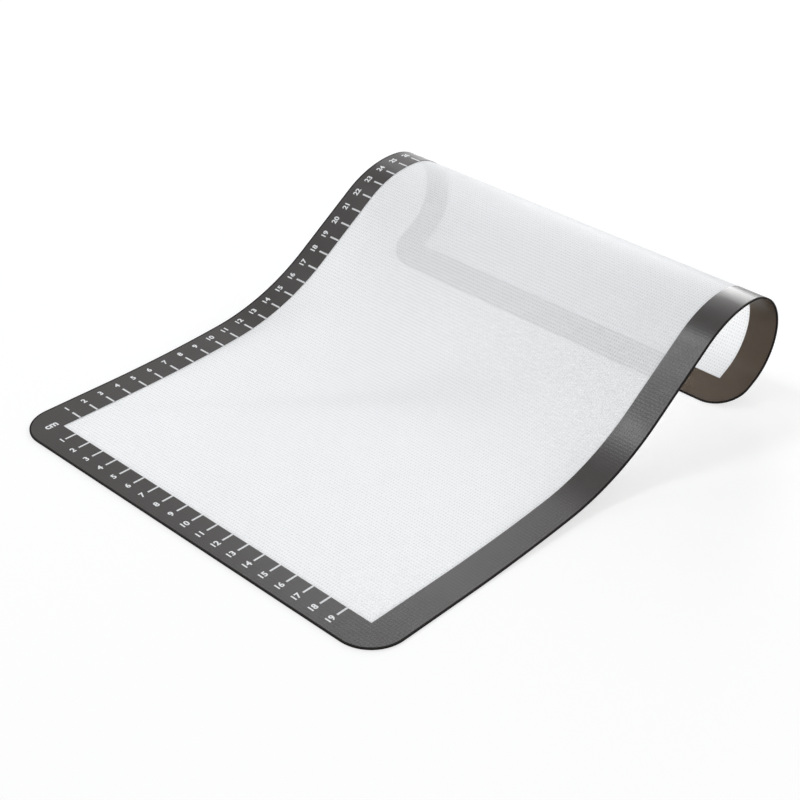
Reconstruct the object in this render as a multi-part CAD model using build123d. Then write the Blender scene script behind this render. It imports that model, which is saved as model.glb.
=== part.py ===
from build123d import *
import os
from collections import namedtuple
from math import cos, radians, sin

# Silicone baking mat. It lies flat at its near end, climbs in a wave, and its far end
# curls back under and stands on its edge.
# Lengths are in millimetres and turns in degrees. X runs across the mat, +Y towards the
# curled end and +Z up. The origin is on the table, under the middle of the mat.

# The sheet, as it is cut
mat_width = 236.0
corner_radius = 18.0

# Its layers: woven glass cloth in the middle, with silicone on both sides. The cloth is
# cut smaller than the mat all round, so the two coats meet and seal its edge in.
cloth_thickness = 0.25
coat_thickness = 0.25
sealed_edge = 0.8

# The dark border of each coat, and the ruler's clear ticks that reach into it
border_width = 16.2
tick_pitch = 10.0
tick_length = 6.0
tick_width = 1.0

# The wave, measured along the middle of the cloth from the near edge
flat_run = 55.5
foot_radius = 840.0
foot_turn = 4.8
rise_radius = 126.0
rise_turn = 30.0
crest_radius = 58.5
crest_turn = 38.0
roll_radius = 30.0
roll_turn = 52.5
tuck_radius = 25.6
tuck_turn = 100.0
tail_length = 23.0

# How far a cutting shape runs past what it cuts
overrun = 0.5

# A place on the middle of the cloth: how far along it is, where, and which way it heads
Station = namedtuple("Station", "along y z heading")


def arc_length(radius, turn):
    """Return the length of a bend of this radius that turns this many degrees."""
    return radius * radians(turn)


def step(station, length, turn):
    """Return the station at the end of a stretch with this length and turn."""
    half_turn = radians(turn / 2)
    chord_share = sin(half_turn) / half_turn if turn else 1
    chord_heading = radians(station.heading) + half_turn
    return Station(
        station.along + length,
        station.y + length * chord_share * cos(chord_heading),
        station.z + length * chord_share * sin(chord_heading),
        station.heading + turn,
    )


# Distances of the layers' faces from the middle of the cloth
cloth_face = cloth_thickness / 2
coat_face = cloth_face + coat_thickness

# The near edge lies on the table
near_edge = Station(0, 0, coat_face, 0)


def follow(start, stretches):
    """Return the stations from this one on, at the end of each stretch."""
    stations = [start]
    for length, turn in stretches:
        stations.append(step(stations[-1], length, turn))
    return stations


# The stretches up to the straight slope and those after it, each as its length and its
# turn, with upward turns positive
climb = [
    (flat_run, 0),
    (arc_length(foot_radius, foot_turn), foot_turn),
    (arc_length(rise_radius, rise_turn), rise_turn),
]
descent = [
    (arc_length(crest_radius, crest_turn), -crest_turn),
    (arc_length(roll_radius, roll_turn), -roll_turn),
    (arc_length(tuck_radius, tuck_turn), -tuck_turn),
    (tail_length, 0),
]

# The slope is as long as it takes for the corner of the tail's upper face to meet the table
tail_end = follow(near_edge, climb + descent)[-1]
lift = coat_face * abs(cos(radians(tail_end.heading))) - tail_end.z
slope_length = lift / sin(radians(foot_turn + rise_turn))
stretches = climb + [(slope_length, 0)] + descent
stations = follow(near_edge, stretches)
mat_length = stations[-1].along

# The clear panel inside the border
panel_width = mat_width - 2 * border_width
panel_length = mat_length - 2 * border_width


def station_at(along):
    """Return the station that lies this far along the cloth from the near edge."""
    for start, (length, turn) in zip(stations, stretches):
        rest = along - start.along
        if rest <= length:
            return step(start, rest, turn * rest / length)
    return stations[-1]


def point(along, height):
    """Return the point this far along the cloth and this high above its middle."""
    station = station_at(along)
    heading = radians(station.heading)
    return Vector(0, station.y - height * sin(heading), station.z + height * cos(heading))


def side_edge(start, end, height):
    """Return the edge of a layer's face in side view, from one station to the next."""
    first = point(start, height)
    last = point(end, height)
    if station_at(start).heading == station_at(end).heading:
        return Edge.make_line(first, last)
    return Edge.make_three_point_arc(first, point((start + end) / 2, height), last)


def layer(low, high, start, end, width):
    """Return the layer between two heights above the middle of the cloth, from start to
    end along it, as a solid that lies centred across X."""
    joints = [station.along for station in stations if start < station.along < end]
    marks = [start] + joints + [end]
    spans = list(zip(marks, marks[1:]))
    outline = [side_edge(a, b, low) for a, b in spans]
    outline += [Edge.make_line(point(end, low), point(end, high))]
    outline += [side_edge(a, b, high) for a, b in spans]
    outline += [Edge.make_line(point(start, low), point(start, high))]
    return Pos(-width / 2, 0, 0) * extrude(Face(Wire(outline)), width, dir=(1, 0, 0))


def rounded_sheet(low, high, inset):
    """Return a layer with the mat's outline, its four corners rounded, or with the outline
    that lies this far inside it."""
    blank = layer(low, high, inset, mat_length - inset, mat_width - 2 * inset)
    corner_edges = blank.edges().sort_by(SortBy.LENGTH)[:4]
    return fillet(corner_edges, corner_radius - inset)


def on_sheet(x, along, height):
    """Return the place on the mat whose Y runs along the sheet and whose Z stands on it."""
    station = station_at(along)
    heading = radians(station.heading)
    spot = point(along, height) + Vector(x, 0, 0)
    return Plane(spot, x_dir=(1, 0, 0), z_dir=(0, -sin(heading), cos(heading))).location


def tick_places(span):
    """Return how far from the panel's corner each tick of a ruler lies, the last at least
    one pitch short of the far corner."""
    count = int((span - tick_pitch) / tick_pitch)
    return [tick_pitch * number for number in range(1, count + 1)]


def ruler_ticks(low, high):
    """Return the ticks of both rulers, between two heights above the middle of the cloth
    and joined to the panel."""
    middle = (low + high) / 2
    depth = high - low
    reach = tick_length + overrun
    centre_out = tick_length / 2 - overrun / 2
    left = -panel_width / 2
    ticks = []
    for place in tick_places(panel_width):
        seat = on_sheet(left + place, border_width - centre_out, middle)
        ticks.append(seat * Box(tick_width, reach, depth))
    for place in tick_places(panel_length):
        seat = on_sheet(left - centre_out, border_width + place, middle)
        ticks.append(seat * Box(reach, tick_width, depth))
    return ticks


def silicone_coat(low, high, pocket_low, pocket_high, ruler):
    """Return the border and the panel of one coat, which lies against the cloth and meets
    the other coat outside it. They are cut from the same blank along the same line, so
    they meet edge to edge, with or without a ruler's ticks."""
    coat = rounded_sheet(low, high, 0) - rounded_sheet(pocket_low, pocket_high, sealed_edge)
    far_end = mat_length - border_width
    clear_area = layer(low - overrun, high + overrun, border_width, far_end, panel_width)
    if ruler:
        clear_area = clear_area + ruler_ticks(low - overrun, high + overrun)
    return coat - clear_area, coat & clear_area


# The baking side has the ruler, and the side that lies on the tray is plain
upper_border, upper_panel = silicone_coat(0, coat_face, -overrun, cloth_face, ruler=True)
lower_border, lower_panel = silicone_coat(-coat_face, 0, -cloth_face, overrun, ruler=False)

nodes = {
    "glass_cloth": rounded_sheet(-cloth_face, cloth_face, sealed_edge),
    "upper_border": upper_border,
    "upper_panel": upper_panel,
    "lower_border": lower_border,
    "lower_panel": lower_panel,
}

# The origin goes under the middle of the mat, so everything moves back by half its depth
depth = max(solid.bounding_box().max.Y for solid in nodes.values())
os.makedirs("parts", exist_ok=True)
for name, solid in nodes.items():
    export_step(Pos(0, -depth / 2, 0) * solid, f"parts/{name}.step")

height = max(solid.bounding_box().max.Z for solid in nodes.values())
print("flat length", round(mat_length, 2), "slope", round(slope_length, 2))
print("stands", round(depth, 2), "deep and", round(height, 2), "high")
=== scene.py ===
from math import cos, hypot, radians, sin

import bpy
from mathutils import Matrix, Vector


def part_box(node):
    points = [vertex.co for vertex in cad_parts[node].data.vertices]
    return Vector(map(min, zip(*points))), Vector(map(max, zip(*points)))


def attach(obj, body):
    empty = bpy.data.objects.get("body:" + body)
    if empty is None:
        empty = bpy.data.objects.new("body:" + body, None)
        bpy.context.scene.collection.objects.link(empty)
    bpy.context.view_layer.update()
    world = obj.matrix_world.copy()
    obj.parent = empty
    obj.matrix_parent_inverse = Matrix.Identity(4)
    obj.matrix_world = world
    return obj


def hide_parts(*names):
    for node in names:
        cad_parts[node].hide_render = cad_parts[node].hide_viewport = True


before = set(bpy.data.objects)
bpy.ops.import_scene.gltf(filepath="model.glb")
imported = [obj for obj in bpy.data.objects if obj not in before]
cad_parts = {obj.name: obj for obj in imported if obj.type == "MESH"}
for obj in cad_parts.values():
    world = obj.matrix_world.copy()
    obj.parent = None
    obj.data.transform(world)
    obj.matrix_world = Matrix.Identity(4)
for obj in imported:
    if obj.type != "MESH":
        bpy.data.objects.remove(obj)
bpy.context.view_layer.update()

# Silicone baking mat: woven glass cloth between two coats of silicone, clear inside and dark
# in the border, lying in a wave with its far end curled under. Lengths are in metres.
# Every piece is modelled flat, with X across the mat, Y along it from the near edge and Z
# off the middle of the cloth, and then laid in the wave.

MM = 0.001

# The mat
mat_width = 236 * MM
corner_radius = 18 * MM
corner_steps = 14
border_width = 16.2 * MM
sealed_edge = 0.8 * MM
cloth_face = 0.125 * MM
coat_face = 0.375 * MM
smooth_angle = 35

# Hairline gaps: between the cloth and the coats, and off the middle where the coats meet
bond_gap = 0.015 * MM
seal_gap = bond_gap / 3

# The ruler: tick marks that are left out of the dark border, and the figures beside them
tick_pitch = 10 * MM
tick_length = 6 * MM
tick_width = 1 * MM
long_count = 32
short_count = 19
figure_size = 4.4 * MM
figure_weight = 0.035
unit_size = 5.6 * MM
one_out = 7.8 * MM
digit_out = 9.15 * MM
pair_out = 9.9 * MM
side_out = 10.2 * MM
ink_thickness = 0.02 * MM
unit_out = 3.9 * MM
merge_distance = 0.01 * MM

# The wave: stretches up to the straight slope and those after it, as length and turn
bends_up = [
    (55.5 * MM, 0),
    (840 * MM * radians(4.8), 4.8),
    (126 * MM * radians(30), 30),
]
bends_down = [
    (58.5 * MM * radians(38), -38),
    (30 * MM * radians(52.5), -52.5),
    (25.6 * MM * radians(100), -100),
    (23 * MM, 0),
]


def step(place, length, turn):
    """Return the place at the end of a stretch: how far along, y, z and heading."""
    along, y, z, heading = place
    half = radians(turn / 2)
    chord = length * (sin(half) / half if turn else 1)
    way = radians(heading) + half
    return along + length, y + chord * cos(way), z + chord * sin(way), heading + turn


def follow(start, stretches):
    """Return the places along these stretches, from the start to the end of the last."""
    places = [start]
    for length, turn in stretches:
        places.append(step(places[-1], length, turn))
    return places


near_edge = (0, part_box("upper_border")[0].y, coat_face, 0)
tail_end = follow(near_edge, bends_up + bends_down)[-1]
tail_height = coat_face * abs(cos(radians(tail_end[3])))
slope_turn = sum(turn for length, turn in bends_up)
slope_length = (tail_height - tail_end[2]) / sin(radians(slope_turn))
stretches = bends_up + [(slope_length, 0)] + bends_down
places = follow(near_edge, stretches)
mat_length = places[-1][0]
panel_half = mat_width / 2 - border_width
panel_far = mat_length - border_width


def place_at(along):
    """Return the place on the wave this far along the mat."""
    for start, (length, turn) in zip(places, stretches):
        rest = along - start[0]
        if rest <= length:
            return step(start, rest, turn * rest / length)
    return places[-1]


def lay_in_wave(piece):
    """Bend a flat piece onto the wave."""
    for vertex in piece.data.vertices:
        x, along, height = vertex.co
        _, y, z, heading = place_at(along)
        way = radians(heading)
        vertex.co = (x, y - height * sin(way), z + height * cos(way))
    piece.data.update()


# The lines that the flat pieces are scored along: each centimetre has its tick's two sides
# and three more, close enough for the tightest bend
long_ticks = [border_width + tick_pitch * n for n in range(1, long_count + 1)]
short_ticks = [-panel_half + tick_pitch * n for n in range(1, short_count + 1)]
tick_sides = (-tick_width / 2, tick_width / 2)
between = (2.75 * MM, 5 * MM, 7.25 * MM)
lengthways = [-panel_half - tick_length, -panel_half, panel_half]
lengthways += [place + side for place in short_ticks for side in tick_sides]
crossways = [border_width - tick_length, border_width, panel_far]
for n in range(-1, int(mat_length / tick_pitch) - 1):
    mark = border_width + tick_pitch * n
    crossways += [mark + part for part in tick_sides + between]
crossways = [y for y in crossways if sealed_edge < y < mat_length - sealed_edge]


def outside_by(x, along, inset=0):
    """Return how far a point lies outside the mat's rounded outline, or inside if it is
    negative. With an inset, the outline is the one that lies so far inside it."""
    radius = corner_radius - inset
    across = abs(x) - (mat_width / 2 - inset - radius)
    ahead = abs(along - mat_length / 2) - (mat_length / 2 - inset - radius)
    if across > 0 and ahead > 0:
        return hypot(across, ahead) - radius
    return max(across, ahead) - radius


def is_clear(x, along):
    """Tell whether a point is on the clear panel inside the border."""
    return abs(x) < panel_half and border_width < along < panel_far


def is_tick(x, along):
    """Tell whether a point is on one of the ruler's ticks."""
    if border_width - tick_length < along < border_width:
        return any(abs(x - place) < tick_width / 2 for place in short_ticks)
    if -panel_half - tick_length < x < -panel_half:
        return any(abs(along - place) < tick_width / 2 for place in long_ticks)
    return False


def let_go():
    """Leave nothing selected."""
    bpy.ops.object.select_all(action="DESELECT")


def pick(piece, chosen):
    """In edit mode, select the faces whose middles are chosen, and nothing else."""
    bpy.ops.mesh.select_mode(type="FACE")
    bpy.ops.mesh.select_all(action="DESELECT")
    bpy.ops.object.mode_set(mode="OBJECT")
    for face in piece.data.polygons:
        face.select = chosen(face.center)
    bpy.ops.object.mode_set(mode="EDIT")


def flat_blank(name, inset, lines_x, lines_y, ring=0):
    """Add a flat sheet with the mat's rounded outline, or one inside it, and score it along
    lines both ways. A ring is a margin of this width inside the outline."""
    let_go()
    bpy.ops.mesh.primitive_plane_add(size=1, location=(0, mat_length / 2, 0))
    piece = bpy.context.object
    piece.name = piece.data.name = name
    piece.scale = (mat_width - 2 * inset, mat_length - 2 * inset, 1)
    bpy.ops.object.transform_apply(location=True, rotation=False, scale=True)
    bpy.ops.object.mode_set(mode="EDIT")
    bpy.ops.mesh.select_all(action="SELECT")
    bpy.ops.mesh.bevel(
        offset=corner_radius - inset, segments=corner_steps, affect="VERTICES"
    )
    if ring:
        bpy.ops.mesh.select_all(action="SELECT")
        bpy.ops.mesh.inset(thickness=ring, use_even_offset=True)
    for x in lines_x:
        bpy.ops.mesh.select_all(action="SELECT")
        bpy.ops.mesh.bisect(plane_co=(x, 0, 0), plane_no=(1, 0, 0))
    for y in lines_y:
        bpy.ops.mesh.select_all(action="SELECT")
        bpy.ops.mesh.bisect(plane_co=(0, y, 0), plane_no=(0, 1, 0))
    bpy.ops.object.mode_set(mode="OBJECT")
    return piece


def copy_of(piece, name):
    """Return a copy of a piece with its own mesh, as the only one selected."""
    let_go()
    piece.select_set(True)
    bpy.context.view_layer.objects.active = piece
    bpy.ops.object.duplicate()
    copy = bpy.context.object
    copy.name = copy.data.name = name
    return copy


def keep_faces(piece, kept):
    """Delete the faces of a flat piece whose middles aren't kept."""
    bpy.ops.object.mode_set(mode="EDIT")
    pick(piece, lambda middle: not kept(middle.x, middle.y))
    bpy.ops.mesh.delete(type="FACE")
    bpy.ops.object.mode_set(mode="OBJECT")


def thicken(piece, low, high):
    """Turn a flat piece into a plate between two heights."""
    bpy.ops.object.mode_set(mode="EDIT")
    bpy.ops.mesh.select_all(action="SELECT")
    bpy.ops.transform.translate(value=(0, 0, low))
    bpy.ops.mesh.select_all(action="SELECT")
    bpy.ops.mesh.extrude_region_move(TRANSFORM_OT_translate={"value": (0, 0, high - low)})
    bpy.ops.mesh.select_all(action="SELECT")
    bpy.ops.mesh.normals_make_consistent(inside=False)
    bpy.ops.object.mode_set(mode="OBJECT")


def map_flat(piece):
    """Give a flat piece a UV map in metres, across and along the mat."""
    layer = piece.data.uv_layers.new(name="flat")
    for loop in piece.data.loops:
        x, along, _ = piece.data.vertices[loop.vertex_index].co
        layer.data[loop.index].uv = (x, along)


def finish_piece(piece, material, nodes=()):
    """Bend a finished flat piece, smooth it, and give it its finish and its place."""
    map_flat(piece)
    lay_in_wave(piece)
    let_go()
    piece.select_set(True)
    bpy.context.view_layer.objects.active = piece
    bpy.ops.object.shade_smooth_by_angle(angle=radians(smooth_angle))
    piece.data.materials.clear()
    piece.data.materials.append(material)
    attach(piece, "root")
    if nodes:
        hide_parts(*nodes)


# Materials


def new_material(name):
    """Return a material and its node tree, with the shader left out."""
    material = bpy.data.materials.new(name)
    material.use_nodes = True
    material.node_tree.nodes.remove(material.node_tree.nodes["Principled BSDF"])
    return material, material.node_tree


def add(tree, kind, links=(), **values):
    """Add a node, set its settings and its inputs' values, and link its inputs."""
    node = tree.nodes.new(kind)
    for name, value in values.items():
        setattr(node, name, value)
    for name, source in dict(links).items():
        socket = node.inputs[name]
        if isinstance(source, (int, float, tuple)):
            socket.default_value = source
        else:
            tree.links.new(source, socket)
    return node


def maths(tree, operation, first, second=0.0, third=0.0):
    """Return the output of one Math node."""
    links = {0: first, 1: second, 2: third}
    return add(tree, "ShaderNodeMath", links, operation=operation).outputs[0]


def ramp(tree, value, low, high, to_low=0.0, to_high=1.0):
    """Return the value eased from one range to another."""
    links = {"Value": value, 1: low, 2: high, 3: to_low, 4: to_high}
    node = add(tree, "ShaderNodeMapRange", links, interpolation_type="SMOOTHSTEP")
    return node.outputs[0]


def blend(tree, factor, deep, light):
    """Return a colour between two tones."""
    links = {"Factor": factor, 6: deep, 7: light}
    return add(tree, "ShaderNodeMix", links, data_type="RGBA").outputs[2]


def relief(tree, height, depth, strength):
    """Return the normal of a face with this relief, whose depth is in metres."""
    links = {"Height": height, "Distance": depth, "Strength": strength}
    return add(tree, "ShaderNodeBump", links).outputs[0]


def flat_noise(tree, scale, detail, roughness=0.5):
    """Return a noise that lies on the mat as it was before it was bent."""
    flat = add(tree, "ShaderNodeUVMap", uv_map="flat").outputs[0]
    links = {"Vector": flat, "Scale": scale, "Detail": detail, "Roughness": roughness}
    return add(tree, "ShaderNodeTexNoise", links).outputs[0]


def skin(tree, tone, roughness, bump=None, ior=1.41, specular=0.5, alpha=1.0):
    """Return the shader of a face, of silicone unless it says otherwise."""
    links = {"Base Color": tone, "Roughness": roughness, "IOR": ior}
    links.update({"Specular IOR Level": specular, "Alpha": alpha})
    if bump is not None:
        links["Normal"] = bump
    return add(tree, "ShaderNodeBsdfPrincipled", links).outputs[0]


def looked_at(tree):
    """Return 1 where the camera looks, also by way of gloss or through the mat, and 0 for the
    rays that only gather light."""
    paths = add(tree, "ShaderNodeLightPath").outputs
    seen = maths(tree, "MAXIMUM", paths["Is Camera Ray"], paths["Is Glossy Ray"])
    return maths(tree, "MAXIMUM", seen, paths["Is Transmission Ray"])


def output(tree, shader):
    """Link the shader to the material's output."""
    tree.links.new(shader, tree.nodes["Material Output"].inputs["Surface"])


warp_pitch = 1.4 * MM
weft_pitch = 1.8 * MM
yarn_wander = 0.25 * MM


def weave(tree):
    """Return the plain weave's height, and how open it is between its yarns, both 0 to 1.
    Every other opening is wider than its neighbours, and they differ a little by chance."""
    flat = add(tree, "ShaderNodeUVMap", uv_map="flat").outputs[0]
    wobble = add(
        tree, "ShaderNodeTexNoise", {"Vector": flat, "Scale": 160.0, "Detail": 1.0}
    ).outputs["Color"]
    moved = add(
        tree,
        "ShaderNodeVectorMath",
        {0: wobble, 1: (yarn_wander, yarn_wander, 0.0), 2: flat},
        operation="MULTIPLY_ADD",
    ).outputs[0]
    across, along, _ = add(tree, "ShaderNodeSeparateXYZ", {0: moved}).outputs
    yarns = []
    openings = []
    gaps = []
    for way, pitch in ((across, warp_pitch), (along, weft_pitch)):
        count = maths(tree, "DIVIDE", way, pitch)
        offset = maths(tree, "SUBTRACT", maths(tree, "FRACT", count), 0.5)
        off = maths(tree, "ABSOLUTE", offset)
        yarns.append((maths(tree, "FLOOR", count), ramp(tree, off, 0.05, 0.5, 1.0, 0.0)))
        openings.append(maths(tree, "ROUND", count))
        gaps.append(ramp(tree, off, 0.13, 0.28))
    (warp_count, warp), (weft_count, weft) = yarns
    over = maths(tree, "PINGPONG", maths(tree, "ADD", warp_count, weft_count), 1.0)
    under = maths(tree, "SUBTRACT", 1.0, over)
    warp_top = maths(tree, "MULTIPLY", warp, maths(tree, "MULTIPLY_ADD", over, 0.4, 0.6))
    weft_top = maths(tree, "MULTIPLY", weft, maths(tree, "MULTIPLY_ADD", under, 0.4, 0.6))
    height = maths(tree, "MAXIMUM", warp_top, weft_top)
    wide = maths(tree, "PINGPONG", maths(tree, "ADD", openings[0], openings[1]), 1.0)
    spot = add(tree, "ShaderNodeCombineXYZ", {0: openings[0], 1: openings[1]}).outputs[0]
    chance = add(
        tree, "ShaderNodeTexWhiteNoise", {"Vector": spot}, noise_dimensions="2D"
    ).outputs["Value"]
    share = maths(tree, "MULTIPLY_ADD", wide, 0.15, 0.5)
    share = maths(tree, "MULTIPLY_ADD", chance, 0.35, share)
    return height, maths(tree, "MULTIPLY", maths(tree, "MULTIPLY", gaps[0], gaps[1]), share)


def glass_cloth_material():
    """White glass yarns soaked in silicone, which let light through, more between them."""
    material, tree = new_material("woven glass cloth")
    height, gap = weave(tree)
    bump = relief(tree, height, 0.12 * MM, 0.8)
    tone = blend(tree, height, (0.918, 0.942, 0.978, 1), (0.945, 0.965, 0.990, 1))
    yarn = skin(tree, tone, 0.7, bump, ior=1.45, specular=0.2)
    glow = add(
        tree, "ShaderNodeBsdfTranslucent", {"Color": (0.990, 0.987, 0.982, 1)}
    ).outputs[0]
    body = add(tree, "ShaderNodeMixShader", {0: 0.60, 1: yarn, 2: glow}).outputs[0]
    clear = add(tree, "ShaderNodeBsdfTransparent").outputs[0]
    # The openings close where the sheet is looked at along its face, and only the face that
    # a ray meets from outside holds it back
    facing = add(tree, "ShaderNodeLayerWeight", {"Blend": 0.5}).outputs["Facing"]
    shut = ramp(tree, facing, 0.45, 0.85, 1.0, 0.05)
    seen = maths(tree, "MULTIPLY", ramp(tree, gap, 0.0, 1.0, 0.08, 0.27), shut)
    inside = add(tree, "ShaderNodeNewGeometry").outputs["Backfacing"]
    seen = maths(tree, "MAXIMUM", seen, inside)
    output(tree, add(tree, "ShaderNodeMixShader", {0: seen, 1: body, 2: clear}).outputs[0])
    return material


def clear_silicone_material():
    """Clear silicone, slightly milky, with the cloth's relief showing in its face."""
    material, tree = new_material("clear silicone")
    height, _ = weave(tree)
    bump = relief(tree, height, 0.06 * MM, 0.5)
    output(tree, skin(tree, (0.93, 0.95, 0.98, 1), 0.30, bump, alpha=0.06))
    return material


def dark_silicone_material(name, deep, light):
    """Dark pigmented silicone with a satin face, mottled between two tones."""
    material, tree = new_material(name)
    height, _ = weave(tree)
    mottle = flat_noise(tree, 60.0, 8.0, 0.75)
    gloss = ramp(tree, mottle, 0.3, 0.7, 0.28, 0.33)
    bump = relief(tree, height, 0.05 * MM, 0.4)
    output(tree, skin(tree, blend(tree, mottle, deep, light), gloss, bump))
    return material


def edge_shade_material():
    """Dark silicone where the mat was cut, rougher than its faces and painted deeper than
    them: painted shade on the cut side and its outer margin.
    """
    material, tree = new_material("painted rim shade")
    grain = flat_noise(tree, 900.0, 4.0)
    # The deeper tones are painted shade for the cut side wall and the rim's margin. The grain
    # between them is random.
    tone = blend(tree, grain, (0.007, 0.006, 0.006, 1), (0.016, 0.014, 0.013, 1))
    output(tree, skin(tree, tone, 0.75, specular=0.15))
    return material


def pale_material(name, deep, light):
    """Pale silicone, between two tones with the cloth's relief."""
    material, tree = new_material(name)
    height, _ = weave(tree)
    output(tree, skin(tree, blend(tree, height, deep, light), 0.4))
    return material


# The cloth, sealed in between the coats
cloth_finish = glass_cloth_material()
clear_finish = clear_silicone_material()
dark_finish = dark_silicone_material(
    "dark silicone", (0.022, 0.018, 0.017, 1), (0.041, 0.034, 0.031, 1)
)
dark_back = dark_silicone_material(
    "dark silicone, tray side", (0.082, 0.058, 0.038, 1), (0.100, 0.072, 0.048, 1)
)
edge_shade_finish = edge_shade_material()
figure_finish = pale_material("pale figures", (0.84, 0.85, 0.86, 1), (0.90, 0.91, 0.92, 1))
tick_finish = pale_material("pale ticks", (0.68, 0.69, 0.70, 1), (0.82, 0.83, 0.84, 1))

coarse_pitch = 20 * MM
coarse = [coarse_pitch * n for n in range(-5, 6)]
woven_cloth = flat_blank("woven_cloth", sealed_edge, coarse, crossways)
thicken(woven_cloth, -cloth_face + bond_gap, cloth_face - bond_gap)
finish_piece(woven_cloth, cloth_finish, ["glass_cloth"])

# The two coats, each cut from the same scored blank into a clear panel and a dark border
ruled_blank = flat_blank("ruled_blank", 0, lengthways, crossways, ring=sealed_edge)


def cut_coat(side, name, ruled):
    """Cut one coat, above the cloth (side 1) or below it (side -1), into its two pieces."""

    def open_part(x, along):
        return is_clear(x, along) or (ruled and is_tick(x, along))

    panel = copy_of(ruled_blank, name + "_clear_coat")
    keep_faces(panel, open_part)
    thicken(panel, side * cloth_face, side * coat_face)
    border = copy_of(ruled_blank, name + "_dark_border")
    keep_faces(border, lambda x, along: not open_part(x, along))
    thicken(border, side * cloth_face, side * coat_face)
    bpy.ops.object.mode_set(mode="EDIT")
    pick(
        border,
        lambda middle: abs(middle.z - side * cloth_face) < bond_gap / 2
        and outside_by(middle.x, middle.y, sealed_edge) > 0,
    )
    bpy.ops.mesh.extrude_region_move(
        TRANSFORM_OT_translate={"value": (0, 0, side * (seal_gap - cloth_face))}
    )
    bpy.ops.mesh.select_all(action="SELECT")
    bpy.ops.mesh.normals_make_consistent(inside=False)
    bpy.ops.object.mode_set(mode="OBJECT")
    return panel, border


upper_clear, upper_dark = cut_coat(1, "upper", True)
lower_clear, lower_dark = cut_coat(-1, "lower", False)
bpy.data.objects.remove(ruled_blank)
flat_middles = [face.center.xy[:] for face in upper_clear.data.polygons]


def edge_faces(border):
    """Return the numbers of a flat border's faces in the margin that has no cloth in it, and
    on the mat's cut outline."""
    return [
        face.index
        for face in border.data.polygons
        if outside_by(face.center.x, face.center.y, sealed_edge) > 0
    ]


edge_shade_faces = {border: edge_faces(border) for border in (upper_dark, lower_dark)}
finish_piece(upper_clear, clear_finish, ["upper_panel"])
upper_clear.data.materials.append(tick_finish)
for face, (x, along) in zip(upper_clear.data.polygons, flat_middles):
    if is_tick(x, along):
        face.material_index = 1
finish_piece(lower_clear, clear_finish, ["lower_panel"])
finish_piece(upper_dark, dark_finish, ["upper_border"])
finish_piece(lower_dark, dark_back, ["lower_border"])
# The border's margin and cut side get the painted rim shade
for border, edges in edge_shade_faces.items():
    border.data.materials.append(edge_shade_finish)
    for number in edges:
        border.data.polygons[number].material_index = 1


# The ruler's figures, all turned to be read from the side that the long ruler is on
def figure(words, x, along, size=figure_size):
    """Add a figure of the ruler, flat, centred on a place and turned to read along Y."""
    bpy.ops.object.text_add(location=(x, along, 0), rotation=(0, 0, radians(90)))
    text = bpy.context.object
    text.data.body = words
    text.data.size = size
    text.data.offset = figure_weight * size
    text.data.align_x = "CENTER"
    text.data.align_y = "CENTER"
    text.data.resolution_u = 4
    bpy.ops.object.convert(target="MESH")
    bpy.ops.object.transform_apply(location=True, rotation=True, scale=True)
    return bpy.context.object


let_go()
marks = []
figure_outs = [one_out] + [digit_out] * 8 + [pair_out] * (short_count - 9)
for n, (x, out) in enumerate(zip(short_ticks, figure_outs)):
    marks.append((str(n + 1), x, border_width - out))
marks += [(str(n + 1), -panel_half - side_out, y) for n, y in enumerate(long_ticks)]
figures = [figure("cm", -panel_half - unit_out, border_width - unit_out, unit_size)]
for words, x, along in marks:
    let_go()
    figures.append(figure(words, x, along))
for piece in figures:
    piece.select_set(True)
bpy.context.view_layer.objects.active = figures[0]
bpy.ops.object.join()
ruler_figures = bpy.context.object
ruler_figures.name = ruler_figures.data.name = "ruler_figures"
bpy.ops.object.mode_set(mode="EDIT")
bpy.ops.mesh.select_all(action="SELECT")
bpy.ops.mesh.remove_doubles(threshold=merge_distance)
for n in range(1, int(mat_length / MM) + 1):
    bpy.ops.mesh.select_all(action="SELECT")
    bpy.ops.mesh.bisect(plane_co=(0, n * MM, 0), plane_no=(0, 1, 0))
bpy.ops.object.mode_set(mode="OBJECT")
thicken(ruler_figures, coat_face, coat_face + ink_thickness)
finish_piece(ruler_figures, figure_finish)

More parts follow.
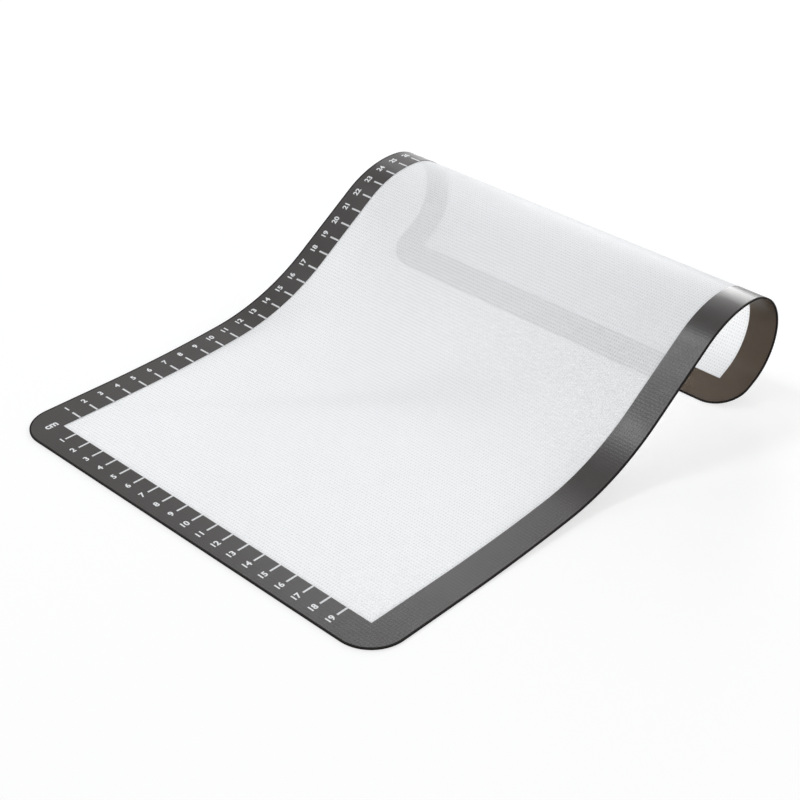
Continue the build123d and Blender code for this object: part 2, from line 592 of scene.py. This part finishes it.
# The floor and the light
floor_size = 8
floor_drop = 0.3 * MM
floor_grey = (0.48, 0.48, 0.48, 1)
floor_lift = 0.61
sky_light = 0.34
white = (1, 1, 1, 1)
let_go()
bpy.ops.mesh.primitive_plane_add(size=floor_size, location=(0, 0, -floor_drop))
floor = bpy.context.object
floor.name = "floor"
floor_finish, tree = new_material("white floor")
matt = add(tree, "ShaderNodeBsdfDiffuse", {"Color": floor_grey}).outputs[0]
strength = maths(tree, "MULTIPLY", looked_at(tree), floor_lift)
lift = add(tree, "ShaderNodeEmission", {"Color": white, "Strength": strength}).outputs[0]
output(tree, add(tree, "ShaderNodeAddShader", {0: matt, 1: lift}).outputs[0])
floor.data.materials.append(floor_finish)

world = bpy.data.worlds.new("studio")
bpy.context.scene.world = world
world.use_nodes = True
tree = world.node_tree
strength = ramp(tree, looked_at(tree), 0.0, 1.0, sky_light, 1.0)
tree.links.new(strength, tree.nodes["Background"].inputs["Strength"])
tree.nodes["Background"].inputs["Color"].default_value = white


def lamp(name, place, target, width, height, power, colour):
    """Add a soft lamp at a place, turned to a target."""
    bpy.ops.object.light_add(type="AREA", location=place)
    light = bpy.context.object
    light.name = name
    light.data.shape = "RECTANGLE"
    light.data.size = width
    light.data.size_y = height
    light.data.energy = power
    light.data.color = colour
    way = Vector(target) - Vector(place)
    light.rotation_euler = way.to_track_quat("-Z", "Y").to_euler()


cool = (0.94, 0.97, 1.0)
plain = (1.0, 1.0, 1.0)
warm = (1.0, 0.985, 0.97)
lamp("top", (-0.698, -0.200, 1.426), (0, 0, 0), 0.34, 0.34, 5.4, cool)
lamp("back", (-0.677, 1.323, 0.500), (0, 0.05, 0.03), 0.40, 0.72, 8.8, plain)
lamp("side", (-0.786, 0.814, 0.984), (0, 0, 0), 0.35, 0.35, 1.7, cool)
lamp("fill", (0.992, -0.992, 0.768), (0, 0.05, 0.03), 0.70, 0.70, 4.7, plain)
lamp("mouth", (1.45, 0.10, 0.42), (0.10, 0.08, 0.03), 0.50, 0.50, 3.4, warm)

# The camera
bpy.ops.object.camera_add(
    location=(0.45723, -0.49842, 0.43653),
    rotation=(radians(60.199), radians(-2.1627), radians(41.6362)),
)
camera = bpy.context.object
camera.data.sensor_width = 36
camera.data.lens = 73.855
camera.data.shift_x = -0.075
camera.data.shift_y = -0.1
camera.data.clip_start = 0.01
bpy.context.scene.camera = camera
bpy.context.scene.view_settings.view_transform = "Standard"
bpy.context.scene.cycles.max_bounces = 12
bpy.context.scene.cycles.diffuse_bounces = 8
bpy.context.scene.cycles.transparent_max_bounces = 24
